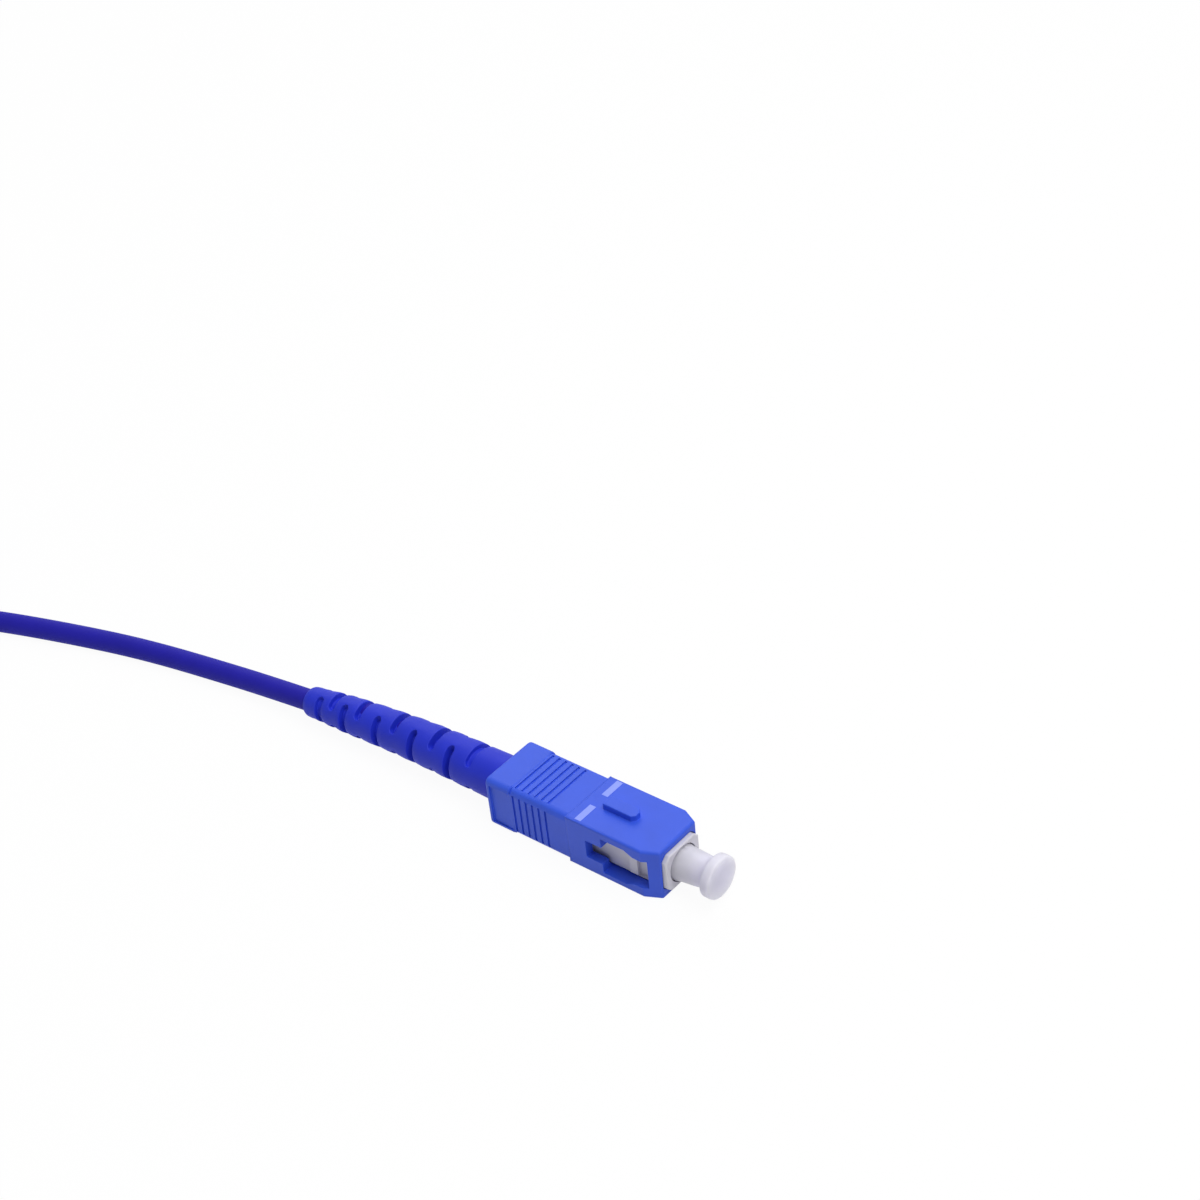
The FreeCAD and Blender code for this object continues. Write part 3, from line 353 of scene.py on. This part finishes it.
def add_boot():
    """The bend limiter: a tapered rubber tube, slotted from the sides and from top and bottom by turns."""
    slots = sorted([(s, 0) for s in SIDE_SLOTS] + [(s, 1) for s in TOP_SLOTS])
    middles = [(before[0] + after[0]) / 2 for before, after in zip(slots, slots[1:])]
    rings = [(x, radius) for x, radius in BOOT_SHAPE if not any(abs(x - s) < 0.8 for s, _ in slots)
             and not any(abs(x - m) < 0.6 for m in middles)]
    rings += [(m, boot_radius(m) + RIDGE) for m in middles]
    for station, _ in slots:
        rings += [(station + side * SLOT_HALF, boot_radius(station)) for side in (-1, 1)]
    outside = sorted(rings) + BOOT_TIP
    boot = turned("boot_rubber_sleeve", outside + BOOT_BORE + outside[:1], tube=True)
    for station, upright in slots:
        def off_middle(place):
            """Angle in degrees from the middle of the nearer of the two slots at this station."""
            up, side = (abs(place.z), abs(place.y)) if upright else (abs(place.y), abs(place.z))
            return math.degrees(math.atan2(side, up))

        def at_station(place, half):
            return abs(place.x / MM - station) < half and place.yz.length > 1.57 * MM
        choose("FACE", lambda face: at_station(face.calc_center_median(), 0.1)
               and off_middle(face.calc_center_median()) < 60)
        floor = FIRST_SLOT_FLOOR if station == slots[0][0] else SLOT_FLOOR
        depth = floor / boot_radius(station)
        middle = (station * MM, 0, 0)
        drawn_out()
        bpy.ops.transform.resize(value=(1, depth, depth), center_override=middle)
        for angle, narrower in ((61.9, 0.36), (56.2, 0.8)):
            widened(lambda vert: at_station(vert.co, 0.6) and abs(off_middle(vert.co) - angle) < 1,
                    x=narrower, centre=middle)
    bpy.ops.mesh.select_all(action="SELECT")
    bpy.ops.transform.rotate(value=math.radians(BOOT_TURN), orient_axis="X", center_override=(0, 0, 0))
    finished(boot, 0.1, 3)
    guide = soft_line("boot_line", BOOT_DROOP, 40, PLUG.z)
    applied(boot, "CURVE", object=guide)
    bpy.data.objects.remove(guide)
    placed(boot, "plug_and_cord", "boot")


# ---------------------------------------------------------------- dust caps

# Bore, grip, neck, the head's rear and rim, and its dished face.
CAP_SHAPE = [(2.6, 1.27), (-2.4, 1.27), (-2.4, 2.0), (-2.1, 2.15), (-0.2, 2.38), (0.6, 2.43), (0.95, 2.34),
             (1.5, 2.26), (3.0, 2.15), (4.2, 2.06), (4.6, 2.06), (4.95, 2.16), (5.15, 2.38), (5.26, 2.68),
             (5.35, 2.8), (5.5, 2.85), (6.36, 2.85), (6.52, 2.8), (6.61, 2.68), (6.64, 2.45), (6.62, 0.9),
             (6.63, 0.3)]
SMALL_CAP_SHAPE = [(1.6, 0.645), (-1.2, 0.645), (-1.2, 1.4), (-1.1, 1.5), (0.3, 1.56), (2.6, 1.42),
                   (3.1, 1.42), (3.4, 1.6), (3.6, 2.0), (3.75, 2.42), (3.9, 2.47), (4.5, 2.47), (4.7, 2.4),
                   (4.8, 2.22), (4.74, 1.9), (4.72, 0.3)]


def add_dust_cap():
    """A soft milky cap: it grips the ferrule, narrows, then flares into the head it is pulled by."""
    cap = turned("dust_cap_moulding", CAP_SHAPE)
    for back in (1.4, 2.9, 4.1, 4.5, 4.9):
        shifted(lambda vert: vert.co.x > back * MM, z=0.07)
    finished(cap, sharp=60)
    standing(cap, PLUG)
    placed(cap, "cap", "dust_cap")


def add_small_dust_cap():
    """The far plug's cap, of the same kind."""
    cap = turned("lc_dust_cap_moulding", SMALL_CAP_SHAPE, 48)
    finished(cap, sharp=60)
    standing(cap, SMALL_PLUG)
    placed(cap, "lc_cap", "lc_dust_cap")


# ---------------------------------------------------------------- plugs

MOULD_EDGE = 0.07
WAIST_REAR, WAIST_FRONT = 5.6, 14.5
WINDOW_FRONT = 27
SIDE_WALL = 3.8


def at_step(part):
    """Whether a face or an edge lies in the hair's breadth of a step in front of the shell's waist."""
    return all(abs(vert.co.x / MM - WAIST_FRONT) < 0.03 for vert in part.verts)


def on_wall(vert, height):
    """Whether a corner lies on the shell's side walls, or that far above or below its middle, in mm."""
    return abs(vert.co.y) > SIDE_WALL * MM or abs(vert.co.z - PLUG.z) > height * MM


def add_sleeve():
    """The outer shell, its waist filled out a little and the front bar of each window broader."""
    shell = copied("coupling_sleeve", "_moulded")
    bpy.ops.object.mode_set(mode="EDIT")
    choose("VERT", lambda vert: min(abs(vert.co.x / MM - WAIST_REAR),
                                    abs(vert.co.x / MM - WAIST_FRONT)) < 0.02)
    bpy.ops.mesh.remove_doubles(threshold=0.016 * MM)
    widened(lambda vert: WAIST_REAR - 0.05 < vert.co.x / MM < WAIST_FRONT + 0.05 and on_wall(vert, 3.1),
            y=1.0427, z=1.0527)
    for low, high, wider in ((3.0, 3.9, 1), (3.9, 4.6, 1.038)):
        shifted(lambda vert: abs(vert.co.x / MM - WINDOW_FRONT) < 0.02 and low < abs(vert.co.y / MM) < high,
                x=-0.3)
        bpy.ops.transform.resize(value=(1, wider, 1), center_override=PLUG)
    shifted(lambda vert: vert.co.x > 27.5 * MM, x=0.25)
    widened(lambda vert: abs(vert.co.y) > SIDE_WALL * MM, y=1.015)
    shifted(lambda vert: vert.co.z > 6.9 * MM, z=0.08)
    shifted(lambda vert: vert.co.x < 2.7 * MM, x=-0.4)
    widened(lambda vert: vert.co.x < 5.4 * MM and on_wall(vert, 3.4), y=1.01)
    choose("FACE", at_step)
    bpy.ops.mesh.quads_convert_to_tris(ngon_method="CLIP")
    finished(shell, MOULD_EDGE, flat=True, shortest=6, keep=at_step)
    placed(shell, "sleeve", "coupling_sleeve")


def add_marks():
    """Two thin printed bars across the shell's top, one on either side of its key."""
    for side, name in ((-1, "sleeve_mark_right"), (1, "sleeve_mark_left")):
        bpy.ops.object.select_all(action="DESELECT")
        bpy.ops.mesh.primitive_plane_add(size=1, location=(16.25 * MM, side * 2.635 * MM, 7.45 * MM))
        bpy.context.object.scale = (0.92 * MM, 3.05 * MM, 1)
        mark = named(name)
        bpy.ops.mesh.select_all(action="SELECT")
        drawn_out(z=0.035 * MM)
        closed_up()
        finished(mark)
        placed(mark, "sleeve", finish="mark_pale")


def add_frame():
    """The pale inner housing, with the ribs that keep it in the outer shell."""
    housing = copied("plug_frame", "_moulded")
    bpy.ops.object.mode_set(mode="EDIT")
    widened(lambda vert: 24.7 < vert.co.x / MM < 27.6 and 2.9 < abs(vert.co.y / MM) < 3.1
            and abs(vert.co.z - PLUG.z) < 2.1 * MM, y=0.885)
    for edge, back in ((24.05, 1.0), (24.8, 0.5), (27.5, 1.7)):
        shifted(lambda vert: abs(vert.co.x / MM - edge) < 0.08 and abs(vert.co.y) > 2.6 * MM
                and abs(vert.co.z - PLUG.z) < 2.2 * MM, x=-back)
    finished(housing, MOULD_EDGE, flat=True, shortest=6)
    placed(housing, "plug_and_cord", "plug_frame")


def lengthwise(edge):
    """Whether an edge runs along X."""
    return abs(edge.verts[0].co.x - edge.verts[1].co.x) > 1 * MM


def add_tie():
    """A coated wire strip drawn close round one side of the hank."""
    low, high, near, far = 0.4, 5.29, -24.5, -18.5
    middle = (near + far) / 2
    band = block("tie_strip", (3.4, far - near, high - low), (-137.8, middle, (low + high) / 2))
    choose("FACE", lambda face: face.normal.z > 0.9)
    drawn_out(z=3.81 * MM)
    bpy.ops.transform.resize(value=(1, 0.3, 1), center_override=(0, middle * MM, 0))
    choose("EDGE", lengthwise)
    bpy.ops.mesh.bevel(offset=1.1 * MM, segments=5, affect="EDGES")
    choose("FACE", lambda face: abs(face.normal.x) > 0.9)
    bpy.ops.mesh.delete(type="FACE")
    bpy.ops.object.mode_set(mode="OBJECT")
    applied(band, "SOLIDIFY", thickness=0.34 * MM, offset=1)
    finished(band)
    placed(band, "plug_and_cord", "coil_tie")


def add_twist():
    """The tie's two ends, twisted together."""
    twist = block("tie_twist", (9, 1.7, 0.62))
    choose("EDGE", lengthwise)
    bpy.ops.mesh.subdivide_edgering(number_cuts=36, smoothness=0)
    bpy.ops.object.mode_set(mode="OBJECT")
    applied(twist, "SIMPLE_DEFORM", deform_method="TWIST", deform_axis="X", angle=math.radians(900))
    finished(twist, 0.04, 1)
    twist.rotation_euler = (0, math.radians(-14), math.radians(84))
    standing(twist, Vector((-137.4, -14.2, 7.2)) * MM)
    placed(twist, "plug_and_cord", finish="tie_black")


# ---------------------------------------------------------------- materials

ROUGHNESS_DRIFT = 0.06
GRAIN_HEIGHT = 0.00003


def srgb(*shades):
    """A colour given by shades from 0 to 255, as the finish takes it."""
    parts = [shade / 255 for shade in shades]
    return tuple((c / 12.92) if c <= 0.04045 else ((c + 0.055) / 1.055) ** 2.4 for c in parts)


def material(name, colour, roughness, grain=0.25, size=0.16, mottle=0.05, cloud=0.0, **sockets):
    """A finish: fine moulded grain of that size in mm, and a colour that drifts a little over the piece."""
    made = bpy.data.materials.new(name)
    made.use_nodes = True
    tree = made.node_tree
    shader = tree.nodes["Principled BSDF"]
    place = tree.nodes.new("ShaderNodeTexCoord")

    def noise(scale, detail):
        field = tree.nodes.new("ShaderNodeTexNoise")
        field.inputs["Scale"].default_value = scale
        field.inputs["Detail"].default_value = detail
        tree.links.new(place.outputs["Object"], field.inputs["Vector"])
        return field

    fine, broad = noise(1000 / size, 3), noise(260, 5)
    ramp = tree.nodes.new("ShaderNodeValToRGB")
    deep, light = ramp.color_ramp.elements
    deep.position, light.position = 0.3, 0.7
    deep.color = (*(c * (1 - mottle - cloud) for c in colour), 1)
    light.color = (*(min(c * (1 + mottle), 1) for c in colour), 1)
    tree.links.new(broad.outputs["Fac"], ramp.inputs["Fac"])
    tree.links.new(ramp.outputs["Color"], shader.inputs["Base Color"])
    gloss = tree.nodes.new("ShaderNodeMapRange")
    gloss.inputs["To Min"].default_value = roughness - ROUGHNESS_DRIFT
    gloss.inputs["To Max"].default_value = roughness + ROUGHNESS_DRIFT
    tree.links.new(fine.outputs["Fac"], gloss.inputs["Value"])
    tree.links.new(gloss.outputs["Result"], shader.inputs["Roughness"])
    lift = tree.nodes.new("ShaderNodeBump")
    lift.inputs["Strength"].default_value = grain
    lift.inputs["Distance"].default_value = GRAIN_HEIGHT
    tree.links.new(fine.outputs["Fac"], lift.inputs["Height"])
    tree.links.new(lift.outputs["Normal"], shader.inputs["Normal"])
    for socket, value in sockets.items():
        shader.inputs[socket.replace("_", " ")].default_value = value
    return made


# ---------------------------------------------------------------- room and light

WHITE = (1, 1, 1, 1)


def eye_sees(tree, seen, unseen, share, surface):
    """Shows the seen finish, by that share, to the eye and in what shines or is clear.

    All other light meets the unseen one.
    """
    rays = tree.nodes.new("ShaderNodeLightPath")
    looking = rays.outputs["Is Camera Ray"]
    for kind in ("Is Glossy Ray", "Is Transmission Ray"):
        either = tree.nodes.new("ShaderNodeMath")
        either.operation = "MAXIMUM"
        tree.links.new(looking, either.inputs[0])
        tree.links.new(rays.outputs[kind], either.inputs[1])
        looking = either.outputs["Value"]
    weight = tree.nodes.new("ShaderNodeMath")
    weight.operation = "MULTIPLY"
    weight.inputs[1].default_value = share
    both = tree.nodes.new("ShaderNodeMixShader")
    tree.links.new(looking, weight.inputs[0])
    tree.links.new(weight.outputs["Value"], both.inputs["Fac"])
    tree.links.new(unseen, both.inputs[1])
    tree.links.new(seen, both.inputs[2])
    tree.links.new(both.outputs["Shader"], surface)


def add_floor():
    """White paper that keeps the soft shadow under the plug."""
    bpy.ops.mesh.primitive_plane_add(size=4, location=(0, 0, 0))
    floor = bpy.context.object
    floor.name = "floor"
    paper = bpy.data.materials.new("white_paper")
    paper.use_nodes = True
    tree = paper.node_tree
    shader = tree.nodes["Principled BSDF"]
    shader.inputs["Base Color"].default_value = (0.92, 0.92, 0.92, 1)
    shader.inputs["Roughness"].default_value = 0.9
    white = tree.nodes.new("ShaderNodeEmission")
    white.inputs["Strength"].default_value = 1.0
    eye_sees(tree, white.outputs["Emission"], shader.outputs["BSDF"], 0.95,
             tree.nodes["Material Output"].inputs["Surface"])
    floor.data.materials.append(paper)


def add_world():
    """A white room that lights the piece only dimly."""
    world = bpy.data.worlds.new("room")
    world.use_nodes = True
    tree = world.node_tree
    walls = tree.nodes["Background"]
    walls.inputs["Color"].default_value = WHITE
    walls.inputs["Strength"].default_value = 0.23
    white = tree.nodes.new("ShaderNodeBackground")
    white.inputs["Color"].default_value = WHITE
    eye_sees(tree, white.outputs["Background"], walls.outputs["Background"], 1.0,
             tree.nodes["World Output"].inputs["Surface"])
    bpy.context.scene.world = world


def add_lamps():
    """A broad lamp above the plug's front, and a fainter one behind the hank."""
    for place, size, energy in (((0.24, 0.04, 0.6), 0.5, 3.55), ((-0.3, 0.32, 0.42), 0.4, 0.9)):
        bpy.ops.object.light_add(type="AREA", location=place)
        lamp = bpy.context.object
        lamp.data.size = size
        lamp.data.energy = energy
        lamp.rotation_euler = (-lamp.location).to_track_quat("-Z", "Y").to_euler()


# ---------------------------------------------------------------- the whole

bpy.context.scene.view_settings.view_transform = "Standard"
add_camera()
MATERIALS = {
    "sleeve_blue": material("sleeve_plastic", srgb(46, 84, 215), 0.5, Specular_IOR_Level=0.4),
    "mark_pale": material("mark_ink", srgb(132, 150, 240), 0.5, grain=0.1),
    "frame_white": material("frame_plastic", srgb(206, 204, 214), 0.4, grain=0.15),
    "zirconia": material("ceramic", srgb(245, 245, 240), 0.15, grain=0.02, mottle=0.01),
    "nickel": material("nickel", srgb(200, 198, 192), 0.3, grain=0.08, Metallic=1.0),
    "spring_steel": material("spring_wire", srgb(180, 180, 182), 0.3, grain=0.05, Metallic=1.0),
    "stop_white": material("stop_plastic", srgb(214, 214, 216), 0.4, grain=0.15),
    "crimp_metal": material("crimp_metal", srgb(205, 200, 190), 0.35, grain=0.1, Metallic=1.0),
    "tube_white": material("tube_plastic", srgb(235, 235, 230), 0.5, grain=0.1),
    "buffer_white": material("buffer_plastic", srgb(240, 240, 236), 0.5, grain=0.1),
    "jacket_blue": material("jacket", srgb(34, 30, 160), 0.6, grain=0.35, size=0.22, Specular_IOR_Level=0.15),
    "boot_blue": material("boot_rubber", srgb(31, 47, 196), 0.55, grain=0.35, size=0.2,
                          Specular_IOR_Level=0.28),
    "cap_milky": material("cap_plastic", srgb(210, 208, 224), 0.42, grain=0.1, cloud=0.06,
                          Subsurface_Weight=1.0, Subsurface_Radius=(1, 1, 1), Subsurface_Scale=0.004),
    "tie_black": material("tie_coating", srgb(24, 24, 27), 0.5, grain=0.3),
    "lc_blue": material("lc_plastic", srgb(30, 50, 160), 0.4),
    "lc_boot_white": material("lc_boot_rubber", srgb(232, 232, 242), 0.5, grain=0.3, size=0.2),
    "lc_cap_white": material("lc_cap_plastic", srgb(232, 232, 242), 0.4, grain=0.1),
}
cord = add_cord(MATERIALS["jacket_blue"])
for name, thing in NODES.items():
    thing.data.materials.clear()
    thing.data.materials.append(MATERIALS[SLOTS[name]])
add_boot()
add_sleeve()
add_marks()
add_frame()
add_spring("ferrule_spring")
add_spring("lc_spring")
add_dust_cap()
dressed("lc_housing", "plug_and_cord", MOULD_EDGE)
dressed("lc_rear_body", "plug_and_cord", MOULD_EDGE)
dressed("lc_latch", "lc_latch_arm", 0.1)
dressed("lc_trigger", "lc_trigger_clip", 0.1)
dressed("lc_boot", "plug_and_cord", 0.06)
add_small_dust_cap()
add_tie()
add_twist()
add_floor()
add_world()
add_lamps()
